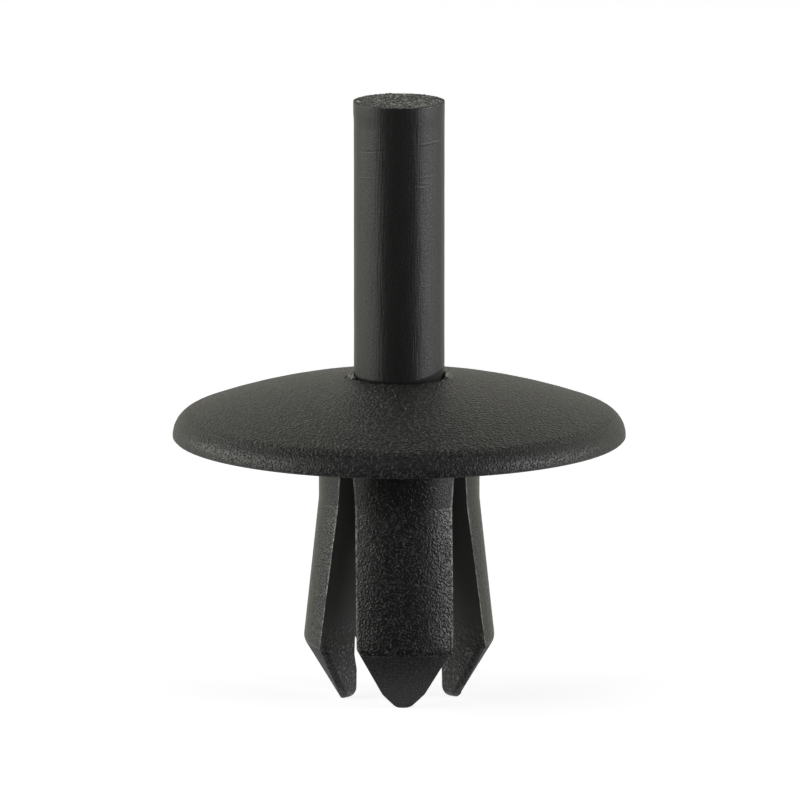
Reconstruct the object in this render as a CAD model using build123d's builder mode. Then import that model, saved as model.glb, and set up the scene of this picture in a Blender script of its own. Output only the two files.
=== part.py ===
from build123d import *
from math import atan2, sqrt, tan
import os

os.makedirs("parts", exist_ok=True)

# Plastic push rivet, in millimetres. A moulded body with a domed head and four snap legs is pushed through
# a hole in a panel, and the pin that stands in the head is then driven down flush, so that the legs can't
# close again. Z is the rivet's axis, up out of the head, and Z = 0 is the seat that bears on the panel.
# The four legs lie along X and Y, with the slots between them on the diagonals.

# Head
head_diameter = 20.0
head_height = 2.82  # seat to the apex of the dome, as it would be without the hole
rim_height = 0.88  # edge of the head before its corners are rounded
shoulder_round = 1.1  # between the dome and the edge
rim_chamfer = 0.08  # between the edge and the seat, at the mould's parting line
seat_width = 1.0  # flat ring that bears on the panel
dish_depth = 1.3  # hollow of the underside, where the shank leaves it
root_chamfer = 0.4  # between the dish and the shank

# Shank and legs, with depths below the seat
neck_diameter = 7.1
neck_length = 2.65  # straight part, before the legs flare
knee_diameter = 8.45  # widest part of the legs, which snaps behind the panel
knee_depth = 8.96
knee_round = 0.6
tip_diameter = 5.16
leg_depth = 11.68
tip_round = 0.22  # outside of the tips
leg_easing = 0.07  # taken off the sharp outer edges between the knees and the tips
nose_width = 0.56  # end of a leg, looking along its own radius, before the corners are rounded
nose_height = 0.74  # over which the leg narrows to that width
nose_round = 0.6

# Slots between the legs, which widen towards the tips
slot_depth = 0.6  # where a slot starts
slot_width = 0.62  # at its closed end
slot_mouth = 2.62  # at the tips
mouth_round = 0.5  # between a slot and the tips

# Drive pin
pin_diameter = 4.0
pin_clearance = 0.05  # all round the pin, in the bore
pin_stroke = 12.35  # from the crown of the head up to the top of the pin
pin_shoulder = 0.05  # below the crown, where the pin starts to narrow to its lead
lead_length = 1.2
lead_diameter = 3.0
pin_top_chamfer = 0.05
tip_bore = 3.81  # bore between the tips, below the reach of the driven pin's shoulder
throat_length = 0.7  # over which the bore narrows to it
bore_round = 0.5  # between the bore and the tips

# Webs that held the pin in the hole, left on the crown when they tear
web_width = 1.2
web_height = 0.22
web_reach = 0.4
web_draft = 14.0  # degrees, towards the ends

# Worked out from the sizes above
head_radius = head_diameter / 2
neck_radius = neck_diameter / 2
knee_radius = knee_diameter / 2
tip_radius = tip_diameter / 2
pin_radius = pin_diameter / 2
bore_radius = pin_radius + pin_clearance
tip_bore_radius = tip_bore / 2
dome_rise = head_height - rim_height
dome_radius = (head_radius**2 + dome_rise**2) / (2 * dome_rise)
crown_height = head_height - dome_radius + sqrt(dome_radius**2 - bore_radius**2)
seat_inner_radius = head_radius - rim_chamfer - seat_width
slot_overrun = 1.0  # the slots' cuts run on past the tips
bore_overrun = 1.0  # the bore's past the crown
easing_overrun = 0.8  # and the bars that ease the edges past both of their ends
easing_bar = 6 * leg_easing  # more than the width that each bar takes off
throat_depth = pin_stroke + pin_shoulder - crown_height  # of the driven pin's shoulder
slot_end_round = 0.45 * slot_width  # nearly a half circle
largest_shoulder = 1.4 * (rim_height - rim_chamfer)  # that fits on the edge
largest_tip_round = 0.5 * (tip_radius - tip_bore_radius)  # that fits on the tip
tip_bore_length = leg_depth - throat_depth - throat_length
largest_bore_round = min(0.8 * (tip_radius - tip_bore_radius), 0.9 * tip_bore_length)  # likewise
cone_slope = (knee_radius - tip_radius) / (leg_depth - knee_depth)  # of the legs' outside, per unit of depth
slot_flare = (slot_mouth - slot_width) / 2 / (leg_depth - slot_depth)  # of a slot's side, likewise


def corner(sketch, x, y):
    """The sketch's vertex at (x, y)."""
    return sketch.vertices().sort_by_distance((x, y))[0]


def leg_edge(depth, radius):
    """Point on the outer edge of the leg along X, on its -Y side, at this depth and radius of the leg."""
    side = slot_width / 2 + slot_flare * (depth - slot_depth)
    along = sqrt(radius**2 - side**2)
    return Vector((along + side) / sqrt(2), (side - along) / sqrt(2), -depth)


# Bars that ease both outer edges of the leg along X, below the knee, where they are cut away
knee_edge = leg_edge(knee_depth, knee_radius)
tip_edge = leg_edge(leg_depth, tip_radius)
edge_middle = (knee_edge + tip_edge) / 2
slot_side = Vector(-1, -1, -slot_flare * sqrt(2)).normalized()
cone_side = Vector(edge_middle.X, edge_middle.Y, 0).normalized() - Vector(0, 0, cone_slope)
outward = (slot_side + cone_side.normalized()).normalized()
with BuildPart() as easing:
    with BuildSketch(Plane(edge_middle - outward * leg_easing, x_dir=tip_edge - knee_edge, z_dir=outward)):
        Rectangle((tip_edge - knee_edge).length + 2 * easing_overrun, easing_bar)
    extrude(amount=easing_bar / 2)
    mirror(about=Plane.XZ)

# What the same leg loses at its end, outside the rounded nose
nose_edge = leg_edge(leg_depth - nose_height, tip_radius + cone_slope * nose_height)
nose_top = -nose_edge.Y - leg_easing  # half the leg's width where the nose starts
nose_turn = atan2(nose_height, nose_top - nose_width / 2)  # from the flat end to the nose's side
largest_nose_round = 0.95 * nose_width / 2 / tan(nose_turn / 2)  # that fits on the flat end
with BuildPart() as nose_corners:
    with BuildSketch(Plane.YZ.offset(tip_bore_radius)) as nose:
        with BuildLine():
            Polyline(
                (0, -leg_depth),
                (nose_width / 2, -leg_depth),
                (nose_top, nose_height - leg_depth),
                (tip_radius, nose_height - leg_depth),
                (tip_radius, -leg_depth - slot_overrun),
                (0, -leg_depth - slot_overrun),
                close=True,
            )
        make_face()
        fillet(corner(nose, nose_width / 2, -leg_depth), min(nose_round, largest_nose_round))
        mirror(about=Plane.YZ)
    extrude(amount=tip_radius)

with BuildPart() as rivet_body:
    # Head, shank and closed legs are turned about the axis from one section, solid at first
    with BuildSketch(Plane.XZ) as section:
        with BuildLine():
            RadiusArc((0, head_height), (head_radius, rim_height), dome_radius)
            Polyline(
                (head_radius, rim_height),
                (head_radius, 0),
                (seat_inner_radius, 0),
                (neck_radius, dish_depth),
                (neck_radius, -neck_length),
                (knee_radius, -knee_depth),
                (tip_radius, -leg_depth),
                (0, -leg_depth),
                (0, head_height),
            )
        make_face()
        fillet(corner(section, head_radius, rim_height), min(shoulder_round, largest_shoulder))
        chamfer(corner(section, head_radius, 0), rim_chamfer)
        chamfer(corner(section, neck_radius, dish_depth), root_chamfer)
        fillet(corner(section, knee_radius, -knee_depth), knee_round)
        fillet(corner(section, tip_radius, -leg_depth), min(tip_round, largest_tip_round))
    revolve(axis=Axis.Z)

    # Torn webs on the crown, either side of the hole
    with BuildSketch(Plane.XZ):
        with BuildLine():
            Polyline(
                (0, dish_depth),
                (bore_radius + web_reach, dish_depth),
                (bore_radius + web_reach, crown_height),
                (bore_radius, crown_height + web_height),
                (0, crown_height + web_height),
                close=True,
            )
        make_face()
        mirror(about=Plane.YZ)
    extrude(amount=web_width / 2, both=True, taper=web_draft)

    # The pin's bore runs right through. It narrows below the driven pin and opens out between the tips
    with BuildSketch(Plane.XZ) as bore:
        with BuildLine():
            Polyline(
                (0, crown_height + bore_overrun),
                (bore_radius, crown_height + bore_overrun),
                (bore_radius, -throat_depth),
                (tip_bore_radius, -throat_depth - throat_length),
                (tip_bore_radius, -leg_depth),
                (tip_radius, -leg_depth),
                (tip_radius, -leg_depth - slot_overrun),
                (0, -leg_depth - slot_overrun),
                close=True,
            )
        make_face()
        fillet(corner(bore, tip_bore_radius, -leg_depth), min(bore_round, largest_bore_round))
    revolve(axis=Axis.Z, mode=Mode.SUBTRACT)

    # Two slots across the shank part it into four legs
    for angle in (45, 135):
        with BuildSketch(Plane.XZ.rotated((0, 0, angle))) as slot:
            top = slot_width / 2
            mouth = slot_mouth / 2
            with BuildLine():
                Polyline(
                    (-top, -slot_depth),
                    (top, -slot_depth),
                    (mouth, -leg_depth),
                    (knee_radius, -leg_depth),
                    (knee_radius, -leg_depth - slot_overrun),
                    (-knee_radius, -leg_depth - slot_overrun),
                    (-knee_radius, -leg_depth),
                    (-mouth, -leg_depth),
                    close=True,
                )
            make_face()
            fillet(corner(slot, top, -slot_depth), slot_end_round)
            fillet(corner(slot, -top, -slot_depth), slot_end_round)
            fillet(corner(slot, mouth, -leg_depth), mouth_round)
            fillet(corner(slot, -mouth, -leg_depth), mouth_round)
        extrude(amount=knee_diameter, both=True, mode=Mode.SUBTRACT)

    # The legs' edges and noses
    with PolarLocations(0, 4):
        add(easing.part, mode=Mode.SUBTRACT)
    with PolarLocations(0, 4):
        add(nose_corners.part, mode=Mode.SUBTRACT)


with BuildPart() as drive_pin:
    with BuildSketch(Plane.XZ) as outline:
        foot = crown_height - pin_shoulder - lead_length
        top_height = crown_height + pin_stroke
        with BuildLine():
            Polyline(
                (0, foot),
                (lead_diameter / 2, foot),
                (pin_radius, foot + lead_length),
                (pin_radius, top_height),
                (0, top_height),
                close=True,
            )
        make_face()
        chamfer(corner(outline, pin_radius, top_height), pin_top_chamfer)
    revolve(axis=Axis.Z)

rivet_body.part.label = "rivet_body"
export_step(rivet_body.part, "parts/rivet_body.step")

drive_pin.part.label = "drive_pin"
export_step(drive_pin.part, "parts/drive_pin.step")
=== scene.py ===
import math

import bmesh
import bpy
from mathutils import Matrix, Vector, noise


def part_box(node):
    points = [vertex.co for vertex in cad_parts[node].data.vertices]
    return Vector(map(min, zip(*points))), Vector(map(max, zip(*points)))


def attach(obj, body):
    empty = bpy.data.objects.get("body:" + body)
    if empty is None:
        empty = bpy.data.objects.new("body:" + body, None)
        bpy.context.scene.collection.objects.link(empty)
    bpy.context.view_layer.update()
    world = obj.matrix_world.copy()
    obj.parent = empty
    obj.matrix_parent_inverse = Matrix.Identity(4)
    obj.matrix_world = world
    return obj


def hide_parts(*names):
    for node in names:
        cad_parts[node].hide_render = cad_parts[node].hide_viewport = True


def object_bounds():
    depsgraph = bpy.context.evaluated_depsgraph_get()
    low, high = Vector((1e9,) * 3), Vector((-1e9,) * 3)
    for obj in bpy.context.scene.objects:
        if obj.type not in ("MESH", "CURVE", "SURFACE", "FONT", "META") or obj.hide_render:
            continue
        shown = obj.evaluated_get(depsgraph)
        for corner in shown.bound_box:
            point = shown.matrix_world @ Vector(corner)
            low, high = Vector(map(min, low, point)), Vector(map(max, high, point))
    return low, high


# Plastic push rivet. The body is the solid from the CAD, the pin is built anew with its wear, and crumbs of moulding
# flash are added. Z is the rivet's axis, up out of the head, and Z = 0 is the seat that bears on the panel.
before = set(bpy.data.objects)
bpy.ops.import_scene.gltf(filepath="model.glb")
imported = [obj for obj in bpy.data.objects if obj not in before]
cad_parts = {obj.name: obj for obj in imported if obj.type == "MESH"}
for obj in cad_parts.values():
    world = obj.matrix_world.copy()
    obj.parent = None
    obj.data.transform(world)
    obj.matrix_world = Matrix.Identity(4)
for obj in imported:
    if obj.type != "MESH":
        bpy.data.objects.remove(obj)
cad_low, cad_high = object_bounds()

MM = 0.001

# Camera: a long lens from a little above and to the left
camera_azimuth = -4.0
camera_elevation = 10.5
camera_distance = 1.0
target_right = 0.035 * MM  # of the rivet's axis, as the camera sees it
target_height = 1.673 * MM
picture_width = 35.29 * MM  # seen at the target
sensor_width = 36.0
clip_start, clip_end = 0.01, 20.0


def direction(azimuth, elevation):
    """Unit vector from the object out to that azimuth and elevation, in degrees. Azimuth 0 is the side of -Y."""
    a, e = math.radians(azimuth), math.radians(elevation)
    return Vector((math.sin(a) * math.cos(e), -math.cos(a) * math.cos(e), math.sin(e)))


def aim(obj, place, target):
    """Puts an object at a place, with its -Z axis towards the target and its X axis level."""
    obj.location = place
    obj.rotation_euler = (target - place).to_track_quat("-Z", "Y").to_euler()


camera_data = bpy.data.cameras.new("camera")
camera = bpy.data.objects.new("camera", camera_data)
bpy.context.scene.collection.objects.link(camera)
bpy.context.scene.camera = camera
camera_data.sensor_width = sensor_width
camera_data.lens = sensor_width * camera_distance / picture_width
camera_data.clip_start = clip_start
camera_data.clip_end = clip_end
target = direction(camera_azimuth + 90, 0) * target_right + Vector((0, 0, target_height))
aim(camera, target + direction(camera_azimuth, camera_elevation) * camera_distance, target)


class Tree:
    """Builds one node tree. Inputs may be numbers, tuples or other nodes' outputs."""

    def __init__(self, owner):
        owner.use_nodes = True
        self.tree = owner.node_tree
        self.tree.nodes.clear()

    def add(self, kind, inputs=(), **settings):
        """A new node. Its inputs are given by name or number."""
        node = self.tree.nodes.new(kind)
        for name, value in settings.items():
            setattr(node, name, value)
        for name, value in dict(inputs).items():
            if isinstance(value, bpy.types.NodeSocket):
                self.tree.links.new(value, node.inputs[name])
            else:
                node.inputs[name].default_value = value
        return node

    def math(self, operation, *values):
        return self.add("ShaderNodeMath", enumerate(values), operation=operation).outputs[0]

    def vector(self, operation, *values):
        node = self.add("ShaderNodeVectorMath", enumerate(values), operation=operation)
        return node.outputs["Value" if operation in ("DOT_PRODUCT", "LENGTH") else "Vector"]

    def split(self, vector):
        """The vector's X, Y and Z."""
        return tuple(self.add("ShaderNodeSeparateXYZ", {0: vector}).outputs)

    def product(self, value, *factors):
        for factor in factors:
            value = self.math("MULTIPLY", value, factor)
        return value

    def rest(self, share):
        """What a share leaves of 1."""
        return self.math("SUBTRACT", 1.0, share)

    def ramp(self, value, low, high, start=0.0, end=1.0):
        """Goes smoothly from start, where value is low, to end, where it is high."""
        inputs = {"Value": value, "From Min": low, "From Max": high, "To Min": start, "To Max": end}
        return self.add("ShaderNodeMapRange", inputs, interpolation_type="SMOOTHSTEP").outputs[0]

    def noise(self, place, scale, detail=1.0, roughness=0.5):
        inputs = {"Vector": place, "Scale": scale, "Detail": detail, "Roughness": roughness}
        return self.add("ShaderNodeTexNoise", inputs).outputs[0]

    def layers(self, color, *layers):
        """The colour, under layers of a share and a colour each. A layer covers what comes before it."""
        for share, cover in layers:
            color = self.add("ShaderNodeMix", {0: share, 6: color, 7: cover}, data_type="RGBA").outputs[2]
        return color

    def surface(self):
        """Place on the surface in millimetres, the same without its height, and the normal."""
        coordinates = self.add("ShaderNodeTexCoord").outputs
        place = self.vector("MULTIPLY", coordinates["Object"], (1 / MM, 1 / MM, 1 / MM))
        return place, self.vector("MULTIPLY", place, (1, 1, 0)), coordinates["Normal"]

    def shown_or_lighting(self, shown, lighting):
        """One shader for what the camera, reflections and glass show, and one for the light on the object."""
        path = self.add("ShaderNodeLightPath").outputs
        share = self.math("MAXIMUM", path["Is Camera Ray"], path["Is Glossy Ray"])
        share = self.math("MAXIMUM", share, path["Is Transmission Ray"])
        return self.add("ShaderNodeMixShader", {0: share, 1: lighting, 2: shown}).outputs[0]


# Studio: softboxes round the rivet, with azimuths from the camera's own and all angles in degrees
softbox_distance = 0.4
warm = (1.0, 0.99, 0.87)
cool = (0.99, 1.0, 1.0)
softboxes = {  # azimuth, elevation, width, height, radiance, tint
    "wing_left": (-58, 7.5, 14, 15, 2.4, cool),
    "edge_left": (-72, 7.5, 14, 15, 8.3, warm),
    "softbox_left": (-104, 7.5, 50, 15, 4.9, warm),
    "high_wing_left": (-58, 20, 20, 10, 7.4, cool),
    "high_left": (-95, 20, 40, 10, 3.8, cool),
    "softbox_right": (74, 7.5, 36, 15, 11.7, cool),
    "wing_right": (105, 7.5, 26, 15, 3.3, warm),
    "high_right": (62, 20, 20, 10, 1.4, cool),
    "softbox_top": (180, 89.9, 40, 40, 0.5, cool),
}
not_mirrored = ("softbox_top",)  # lamps that reflections don't show
white = (1.0, 1.0, 1.0, 1.0)
studio_grey = 0.06  # what the world gives off, other than what is seen of it


def softbox(name, azimuth, elevation, width, height, radiance, tint):
    """A lamp of one even brightness, which lights the object and isn't seen itself."""
    data = bpy.data.lights.new(name, "AREA")
    data.shape = "RECTANGLE"
    data.size = 2 * softbox_distance * math.tan(math.radians(width / 2))
    data.size_y = 2 * softbox_distance * math.tan(math.radians(height / 2))
    data.energy = radiance * math.pi * data.size * data.size_y
    data.color = tint
    lamp = bpy.data.objects.new(name, data)
    lamp.visible_camera = False
    lamp.visible_glossy = name not in not_mirrored
    bpy.context.scene.collection.objects.link(lamp)
    aim(lamp, direction(camera_azimuth + azimuth, elevation) * softbox_distance, Vector((0, 0, 0)))


for name, setting in softboxes.items():
    softbox(name, *setting)

world = bpy.data.worlds.new("studio")
bpy.context.scene.world = world
t = Tree(world)
backdrop = t.add("ShaderNodeBackground", {"Color": white, "Strength": 1.0}).outputs[0]
lighting = t.add("ShaderNodeBackground", {"Color": white, "Strength": studio_grey}).outputs[0]
t.add("ShaderNodeOutputWorld", {"Surface": t.shown_or_lighting(backdrop, lighting)})

# Cloths that only reflections show: black in front and overhead, and behind the rivet a grey apron and a paler wall.
# Their profiles are distances from the rivet's axis and heights, in metres.
cloth_black = (0.01, 0.01, 0.01, 1.0)
apron_grey = 0.6
wall_grey = 0.8
front_half_angle = 50.0
back_half_angle = 65.0
cloth_steps = 24
apron_level = cad_low.z + 0.5 * MM
wall_foot = (0.45, 0.1)
wall_top = (0.4, 0.4)
apron = [(4 * MM, apron_level), (0.4, apron_level), wall_foot]
overhead = [(0.0, 0.62), (0.22, 0.6), (0.35, 0.5)]

# Floor, which is white where it is seen and keeps the rivet's shadow
floor_size = 6.0
floor_color = (0.8, 0.8, 0.8, 1.0)
floor_glow = 0.84
floor_seen = (0.495, 0.495, 0.51, 1.0)


def mesh_object(name, points, faces, material):
    """An object of its own from points and faces."""
    mesh = bpy.data.meshes.new(name)
    mesh.from_pydata([tuple(p) for p in points], [], faces)
    obj = bpy.data.objects.new(name, mesh)
    bpy.context.scene.collection.objects.link(obj)
    obj.data.materials.append(material)
    return obj


def quads(rows, columns, closed, first=0):
    """Faces between rows of points, counted from the first. A closed row runs round into a ring."""
    faces = []
    for row in range(rows - 1):
        low = first + row * columns
        high = low + columns
        for a in range(columns if closed else columns - 1):
            b = (a + 1) % columns
            faces.append((low + a, low + b, high + b, high + a))
    return faces


def cloth(name, material, profile, half_angle, middle=0.0):
    """A cloth that only reflections show, its profile swept round the rivet's axis."""
    points = []
    for i in range(cloth_steps + 1):
        around = direction(camera_azimuth + middle + half_angle * (2 * i / cloth_steps - 1), 0)
        points += [around * distance + Vector((0, 0, height)) for distance, height in profile]
    obj = mesh_object(name, points, quads(cloth_steps + 1, len(profile), closed=False), material)
    obj.visible_camera = False
    obj.visible_diffuse = False
    obj.visible_transmission = False
    obj.visible_shadow = False


def grey_cloth(name, grey):
    """A material that glows a little, in place of the light on it."""
    material = bpy.data.materials.new(name)
    t = Tree(material)
    glow = t.add("ShaderNodeEmission", {"Color": (*warm, 1.0), "Strength": grey}).outputs[0]
    t.add("ShaderNodeOutputMaterial", {"Surface": glow})
    return material


black = bpy.data.materials.new("black_cloth")
t = Tree(black)
matte = t.add("ShaderNodeBsdfDiffuse", {"Color": cloth_black}).outputs[0]
t.add("ShaderNodeOutputMaterial", {"Surface": matte})

cloth("flag_front", black, [*apron, wall_top], front_half_angle)
cloth("flag_back", grey_cloth("grey_cloth", apron_grey), apron, back_half_angle, middle=180)
cloth("flag_wall", grey_cloth("pale_cloth", wall_grey), [wall_foot, wall_top], back_half_angle, middle=180)
cloth("flag_top", black, overhead, half_angle=180)

floor_material = bpy.data.materials.new("floor")
t = Tree(floor_material)
matte = t.add("ShaderNodeBsdfDiffuse", {"Color": floor_color}).outputs[0]
shaded = t.add("ShaderNodeBsdfDiffuse", {"Color": floor_seen}).outputs[0]
glow = t.add("ShaderNodeEmission", {"Strength": floor_glow}).outputs[0]
bright = t.add("ShaderNodeAddShader", {0: shaded, 1: glow}).outputs[0]
t.add("ShaderNodeOutputMaterial", {"Surface": t.shown_or_lighting(bright, matte)})
half = floor_size / 2
level = cad_low.z
corners = [(-half, -half, level), (half, -half, level), (half, half, level), (-half, half, level)]
mesh_object("floor", corners, [(0, 1, 2, 3)], floor_material)

# Nylon: its colours, gloss and roughness
nylon_color = (0.011, 0.011, 0.011, 1.0)
pin_color = (0.019, 0.019, 0.019, 1.0)
dark_color = (0.0, 0.0, 0.0, 1.0)  # lines and bands in shade
glint_color = (0.13, 0.13, 0.13, 1.0)  # painted glints on the tops of grains, where they catch the light
slot_lit_color = (0.085, 0.085, 0.085, 1.0)  # painted light on the slots' faces, which lie in shade
tip_lit_color = (0.03, 0.03, 0.029, 1.0)  # painted light on the slots' faces near the tips, between their grains, less than above them
edge_highlight_color = (0.22, 0.22, 0.216, 1.0)  # painted highlights on these grains and along the edges of the legs
web_highlight_color = (0.17, 0.17, 0.16, 1.0)  # painted highlight on the torn webs, where their facets catch the light
top_highlight_color = (0.58, 0.58, 0.565, 1.0)  # painted highlight on the rough top of the pin, where it catches the light
top_tint = 0.04  # share of that painted highlight between its grains
specular = 0.32
head_roughness = 0.4
flare_roughness = 0.3
cone_roughness = 0.6
slot_roughness = 0.45
pin_roughness = 0.33

# Grain: grains per millimetre, their height in millimetres, the share of their tops painted with a glint, and the
# value of the noise from which the tops rise, which is higher where the grains stand apart
dome_grain = (8.5, 0.28, 0.85, 0.53)
rim_grain = (10.5, 0.055, 0.15, 0.50)
flare_grain = (11.5, 0.085, 0.12, 0.52)
cone_grain = (11.0, 0.06, 0.1, 0.50)
slot_grain = (8.0, 0.09, 1.0, 0.50)
top_grain = (7.0, 0.2, 1.0, 0.45)
tops_rise = 0.22  # of the noise, from where the tops start to where they are full
tops_share = 0.6  # of the grains' height. The rest follows the noise itself.

# Where the body's surface changes. Lengths are in millimetres, and heights are Z. A pair of values in brackets is
# where the change starts and where it is complete.
blur = 0.04  # of the change at the seat and at the knees, either way
edge_round = 0.03  # of all edges, in shading only
edge_samples = 4
facing_out = (0.6, 0.8)  # how squarely the outside of a leg looks away from the axis
facing_up = (0.7, 0.9)  # how squarely the dome looks up
flare_heights = (-1.5, -5.0)  # from the weaker grain by the head to the full grain of the legs
flare_least = 0.25  # share of the grain above them
knee_level = -9.1
crease_depth = 0.02  # of the line at the knees
crease_width = 0.035
slot_top = -0.6
slot_half_width = 0.31  # at its top
slot_flare = 0.0903  # by which that grows, per unit of depth
edge_highlight_width = 0.14  # of the strips of painted highlight along the legs' edges
patch_noise = (3.0, 2.0, 0.6)  # patches per millimetre, detail and roughness
patch_range = (0.35, 0.6)
tips_heights = (-7.5, -9.8)  # where the slots' faces turn grainy
tip_level = -11.68
tip_radius = 2.58
cone_slope = 0.605  # by which the cone widens, per unit of height
band_heights = (-8.6, -9.2)  # of the band of painted shade along the cone, on the slots' faces
band_edge = (0.44, 0.31)  # in from the cone
band_width = 0.36  # over which the band falls away towards the cone
band_slope = 0.3

# Torn webs either side of the hole, with painted highlight where their facets catch the light
crown_level = 2.741  # edge of the hole in the head
web_depth = 0.1  # below it, over which they fade in
hole_radius = 2.05
web_reach = 0.4  # out from the hole, at the most
web_ragged = 0.2  # by which their ends wander
web_lean = 0.02  # by which the one on the right reaches further, per unit of its X
web_per_mm = 5.0
web_blur = 0.03
web_width = 1.2
web_side_blur = 0.05

# The pin's surface
top_heights = (14.95, 15.0)  # of its cut top
top_facing = (0.4, 0.7)  # how squarely that looks up
top_ring = (1.87, 1.95)  # distance from the axis of the ring of painted shade round it
streak_per_mm = 13.0  # across
streak_stretch = 0.05  # share of that lengthwise, which makes them long
streak_height = 0.010
streak_roughness = 0.2
dust_per_mm = 10.0
dust_height = 0.007


def pebbles(t, place, grain, share):
    """Height of small grains, in millimetres, and the painted glint on their tops. The share scales both."""
    per_mm, height, glint_share, start = grain
    fine = t.noise(place, per_mm)
    tops = t.ramp(fine, start, start + tops_rise)
    shape = t.math("MULTIPLY_ADD", tops, tops_share, t.product(fine, 1 - tops_share))
    return t.product(shape, height, share), t.product(tops, glint_share, share)


def finish_nylon(t, color, roughness, height):
    """Wires a matte nylon with its bumps, given in millimetres, and slightly rounded edges."""
    rounded = t.add("ShaderNodeBevel", {"Radius": edge_round * MM}, samples=edge_samples).outputs[0]
    bump = t.add("ShaderNodeBump", {"Height": height, "Distance": MM, "Normal": rounded}).outputs[0]
    inputs = {"Base Color": color, "Roughness": roughness, "Specular IOR Level": specular, "Normal": bump}
    shader = t.add("ShaderNodeBsdfPrincipled", inputs)
    t.add("ShaderNodeOutputMaterial", {"Surface": shader.outputs[0]})


body_material = bpy.data.materials.new("body_nylon")
t = Tree(body_material)
place, flat, normal = t.surface()
x, y, z = t.split(place)
side_x, side_y = t.math("ABSOLUTE", x), t.math("ABSOLUTE", y)
from_axis = t.vector("LENGTH", flat)
outside = t.ramp(t.vector("DOT_PRODUCT", normal, t.vector("NORMALIZE", flat)), *facing_out)
above_knee = t.ramp(z, knee_level - blur, knee_level + blur)

# How far the surface belongs to each part
on_head = t.ramp(z, -blur, blur)
on_dome = t.product(on_head, t.ramp(t.split(normal)[2], *facing_up))
on_rim = t.math("SUBTRACT", on_head, on_dome)
on_legs = t.rest(on_head)
on_outside = t.product(on_legs, outside)
on_flare = t.product(on_outside, above_knee)
on_cone = t.product(on_outside, t.rest(above_knee))
on_slot = t.product(on_legs, t.rest(outside))
# The line at the knees: a shallow groove in the bump, painted dark as shade
on_crease_and_shade = t.ramp(t.math("ABSOLUTE", t.math("SUBTRACT", z, knee_level)), crease_width, 0.0)
on_crease_and_shade = t.product(on_crease_and_shade, on_outside)
flare_share = t.product(on_flare, t.ramp(z, *flare_heights, flare_least, 1.0))
slot_share = t.product(on_slot, t.ramp(z, *tips_heights))

# Painted highlight along the edges of the legs, in patches, by how far the surface is from the slots' faces
from_middle = t.math("DIVIDE", t.math("ABSOLUTE", t.math("SUBTRACT", side_x, side_y)), math.sqrt(2))
half_slot = t.math("MULTIPLY_ADD", t.math("SUBTRACT", slot_top, z), slot_flare, slot_half_width)
by_edge = t.ramp(t.math("SUBTRACT", from_middle, half_slot), edge_highlight_width, 0.0)
on_edge_highlight = t.product(by_edge, t.ramp(t.noise(place, *patch_noise), *patch_range), on_outside)

# Dark band of painted shade on the slots' faces, along the cone
cone_radius = t.math("MULTIPLY_ADD", t.math("SUBTRACT", z, tip_level), cone_slope, tip_radius)
from_cone = t.math("SUBTRACT", cone_radius, from_axis)
band_share = t.product(on_slot, t.ramp(z, *band_heights))
on_shade_band = t.product(t.ramp(from_cone, *band_edge), band_share)
band_fall = t.math("MINIMUM", t.math("SUBTRACT", from_cone, band_width), 0.0)
band_fall = t.product(band_fall, band_slope, band_share)

web_end = t.math("MULTIPLY_ADD", x, web_lean, hole_radius + web_reach - web_ragged)
web_end = t.math("MULTIPLY_ADD", t.noise(place, web_per_mm), web_ragged, web_end)
on_web = t.product(
    on_head,
    t.ramp(t.math("SUBTRACT", from_axis, web_end), web_blur, -web_blur),
    t.ramp(side_y, web_width / 2 + web_side_blur, web_width / 2 - web_side_blur),
    t.ramp(z, crown_level - web_depth, crown_level),
)

height, slot_glint = pebbles(t, place, slot_grain, slot_share)
height = t.math("ADD", height, t.math("MULTIPLY_ADD", on_crease_and_shade, -crease_depth, band_fall))
# Painted glints on the tops of the grains
glint = 0.0
for grain, share in ((dome_grain, on_dome), (rim_grain, on_rim), (flare_grain, flare_share), (cone_grain, on_cone)):
    grain_height, grain_glint = pebbles(t, place, grain, share)
    height = t.math("ADD", height, grain_height)
    glint = t.math("ADD", glint, grain_glint)
roughness = t.product(on_head, head_roughness)
for value, share in ((flare_roughness, on_flare), (cone_roughness, on_cone), (slot_roughness, on_slot)):
    roughness = t.math("MULTIPLY_ADD", share, value, roughness)
# Painted light on the slots' faces, glints on grains, highlights on edges and webs, shade in the band and the crease
color = t.layers(
    nylon_color,
    (on_slot, slot_lit_color),
    (slot_share, tip_lit_color),
    (glint, glint_color),
    (slot_glint, edge_highlight_color),
    (on_shade_band, dark_color),
    (on_edge_highlight, edge_highlight_color),
    (on_crease_and_shade, dark_color),
    (on_web, web_highlight_color),
)
finish_nylon(t, color, roughness, height)

pin_material = bpy.data.materials.new("pin_nylon")
t = Tree(pin_material)
place, flat, normal = t.surface()
on_top = t.product(t.ramp(t.split(place)[2], *top_heights), t.ramp(t.split(normal)[2], *top_facing))
on_shade_ring = t.product(on_top, t.ramp(t.vector("LENGTH", flat), *top_ring))
streaks = t.noise(t.vector("MULTIPLY", place, (1, 1, streak_stretch)), streak_per_mm)
height, glint = pebbles(t, place, top_grain, on_top)
height = t.math("MULTIPLY_ADD", streaks, streak_height, height)
height = t.math("MULTIPLY_ADD", t.noise(place, dust_per_mm), dust_height, height)
roughness = t.math("MULTIPLY_ADD", streaks, streak_roughness, pin_roughness - streak_roughness / 2)
# Painted highlight on the pin's cut top and its grains, and a ring of painted shade round it
color = t.layers(
    pin_color,
    (t.product(on_top, top_tint), top_highlight_color),
    (glint, top_highlight_color),
    (on_shade_ring, dark_color),
)
finish_nylon(t, color, roughness, height)


def dress(node, material):
    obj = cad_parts[node]
    obj.data.materials.clear()
    obj.data.materials.append(material)


dress("rivet_body", body_material)
dress("drive_pin", pin_material)

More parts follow.
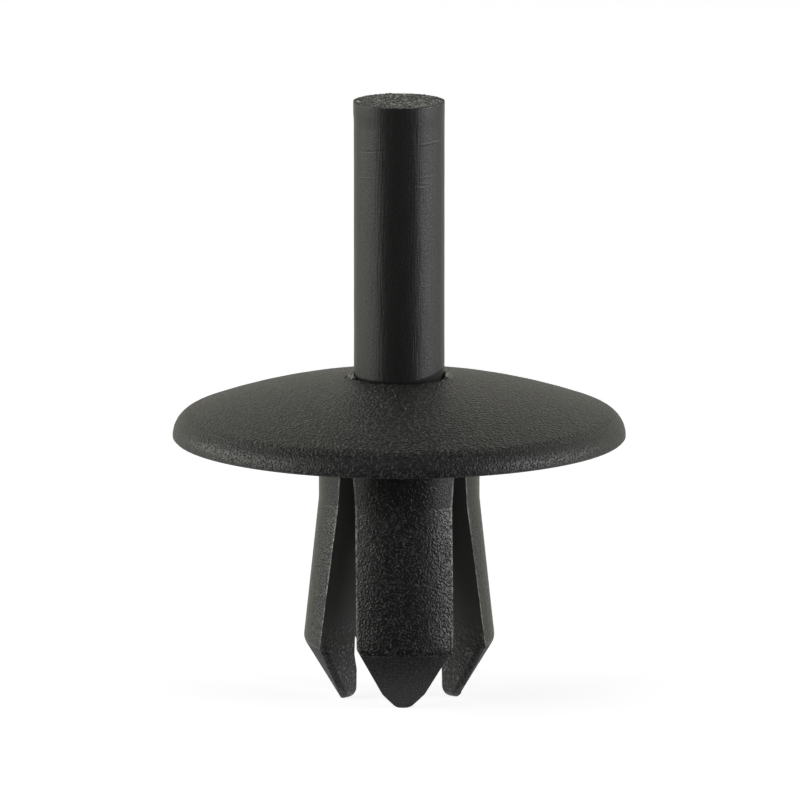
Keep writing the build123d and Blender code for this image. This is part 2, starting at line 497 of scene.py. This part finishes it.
# Pin, in millimetres and in degrees round to the right of the camera's azimuth. Its side is scratched, its cut top
# is rough and spread by the punch, and its lead starts higher on the right, where the foot is chipped.
pin_radius = 2.0
pin_segments = 192
pin_low, pin_high = (corner.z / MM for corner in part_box("drive_pin"))
lead_radius = 1.5
lead_length = 1.2
lead_slope = (pin_radius - lead_radius) / lead_length
lead_rise = 0.14  # all round, above the solid's own
chip_height = 0.35
chip_slope = 0.6  # share of the lead's slope that it takes away
chip_angles = (5, 80, 120, 160)  # where the chip starts, is deepest, starts to end and ends
spread_left = 0.03
spread_right = 0.01
spread_turn = (0.3, 0.9)  # how far round to the left the spread grows, as the sine of the angle
spread_start = 1.1  # below the top
spread_full = spread_start / 3  # likewise
top_corner = 0.04
corner_ragged = (0.6, 0.8, 9)  # share of that corner everywhere, share that wanders, and how fast
top_rings = 40
top_roughness = 0.12
top_level = 0.35  # share of that roughness everywhere
top_waves = ((0.5, 7), (0.3, 15))  # shares of it that wander, and how fast
top_range = (0.02, 1.0)  # share of it, at the least and at the most
wobble = 0.006
wobble_around, wobble_along = 2, 0.7  # how fast the side's radius wanders
scratch_ends = 0.1  # share of its length by which a scratch runs out past its ends
scratch_fade = 0.7  # share of its length from which it gets weaker
scratches = [  # angle and height of both ends, half width and height: positive stands out, negative is cut in
    ((14, 13.368), (68, 13.449), 0.03, 0.025),
    ((-58, 13.08), (-22, 13.24), 0.04, 0.002),
    ((-62, 12.95), (0, 13.20), 0.04, -0.003),
    ((-56, 11.80), (-24, 11.92), 0.03, 0.004),
    ((26, 11.92), (74, 11.95), 0.025, 0.003),
    ((18, 11.72), (44, 11.60), 0.025, 0.003),
    ((16, 11.62), (34, 11.56), 0.025, -0.004),
    ((18, 11.50), (38, 11.44), 0.025, 0.003),
    ((-4, 9.36), (14, 9.35), 0.03, 0.01),
]
ring_zones = [  # upper end of each zone, and the spacing of the rings in it
    (3.3, 0.05),
    (9.2, 0.15),
    (9.5, 0.025),
    (11.3, 0.15),
    (13.6, 0.022),
    (pin_high - top_corner, 0.05),
]


def smooth(value, low, high):
    """0 at low, 1 at high and a smooth step between them."""
    share = min(max((value - low) / (high - low), 0.0), 1.0)
    return share * share * (3 - 2 * share)


def scratch_height(angle, z):
    """What the scratches add to the pin's radius."""
    total = 0.0
    for (angle_a, z_a), (angle_b, z_b), half_width, height in scratches:
        along = (angle - angle_a) / (angle_b - angle_a)
        if -scratch_ends < along < 1 + scratch_ends:
            across = (z - z_a - (z_b - z_a) * along) / half_width
            if abs(across) < 1:
                ends = smooth(along, -scratch_ends, scratch_ends) * smooth(along, 1 + scratch_ends, scratch_fade)
                total += height * ends * (1 - across * across)
    return total


def spread_at(angle):
    """What the spread top adds to the pin's radius."""
    return spread_right + (spread_left - spread_right) * smooth(math.sin(math.radians(-angle)), *spread_turn)


def pin_side(angle, z):
    """Radius of the pin's side."""
    start, full, fade, end = chip_angles
    chip = smooth(angle, start, full) * (1 - smooth(angle, fade, end))
    shoulder = pin_low + lead_length + lead_rise + chip_height * chip
    slope = lead_slope * (1 - chip_slope * chip)
    radius = pin_radius + spread_at(angle) * smooth(z, pin_high - spread_start, pin_high - spread_full)
    around = direction(camera_azimuth + angle, 0) * wobble_around
    radius += wobble * noise.noise(around + Vector((0, 0, z * wobble_along))) + scratch_height(angle, z)
    return max(radius - slope * max(shoulder - z, 0), lead_radius)


def pin_top(angle, share):
    """Point on the pin's top, at this share of the way from the axis to its edge."""
    around = direction(camera_azimuth + angle, 0)
    steady, wander, speed = corner_ragged
    ragged = top_corner * (steady + wander * noise.noise(around * speed))
    place = around * (pin_radius + spread_at(angle) - ragged) * share
    rough = top_level + sum(height * noise.noise(place * speed) for height, speed in top_waves)
    least, most = top_range
    return place + Vector((0, 0, pin_high - top_roughness * min(max(rough, least), most)))


def pin_rings():
    """Rings of points up the pin's side and in over its top, in millimetres."""
    angles = [360 * i / pin_segments - 180 for i in range(pin_segments)]
    level = pin_low
    levels = []
    for end, spacing in ring_zones:
        steps = round((end - level) / spacing)
        levels += [level + (end - level) * i / steps for i in range(steps)]
        level = end
    levels.append(level)
    for z in levels:
        yield [direction(camera_azimuth + angle, 0) * pin_side(angle, z) + Vector((0, 0, z)) for angle in angles]
    for i in range(top_rings):
        yield [pin_top(angle, 1 - i / top_rings) for angle in angles]


rings = list(pin_rings())
points = [p * MM for ring in rings for p in ring]
faces = quads(len(rings), pin_segments, closed=True)
faces.append(tuple(reversed(range(pin_segments))))
last = (len(rings) - 1) * pin_segments
faces += [(last + a, last + (a + 1) % pin_segments, len(points)) for a in range(pin_segments)]
points.append(Vector((0, 0, pin_high - top_roughness / 2)) * MM)
pin = mesh_object("worn_pin", points, faces, pin_material)
pin.data.shade_smooth()
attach(pin, "pin")
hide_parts("drive_pin")

# Crumbs of moulding flash on the body: centre and size of each in millimetres, the first where a tip was nicked
crumbs = [
    ((2.56, -0.22, -11.44), (0.17, 0.14, 0.13)),
    ((3.62, -2.07, -9.02), (0.06, 0.06, 0.09)),
    ((2.07, -3.62, -9.06), (0.07, 0.06, 0.10)),
    ((1.55, -3.83, -9.08), (0.10, 0.05, 0.04)),
]
crumb_rings = 12
crumb_segments = 20
crumb_lumps = 0.5  # share of a crumb's size by which it varies
lump_speed = 1.7
lump_shift = 5  # times the crumb's place, so that each has lumps of its own
same_place = 1e-7  # metres between points that are merged, at a crumb's poles

points, faces = [], []
for centre, size in crumbs:
    faces += quads(crumb_rings + 1, crumb_segments, closed=True, first=len(points))
    for i in range(crumb_rings + 1):
        for j in range(crumb_segments):
            around = direction(360 * j / crumb_segments, 180 * i / crumb_rings - 90)
            lumpy = 1 + crumb_lumps * noise.noise(around * lump_speed + Vector(centre) * lump_shift)
            points.append((Vector(centre) + around * Vector(size) * lumpy) * MM)
flash = mesh_object("moulding_flash", points, faces, body_material)
flash.data.shade_smooth()
merge = bmesh.new()
merge.from_mesh(flash.data)
bmesh.ops.remove_doubles(merge, verts=merge.verts, dist=same_place)
merge.to_mesh(flash.data)
merge.free()
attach(flash, "rivet")

bpy.context.scene.view_settings.view_transform = "Standard"
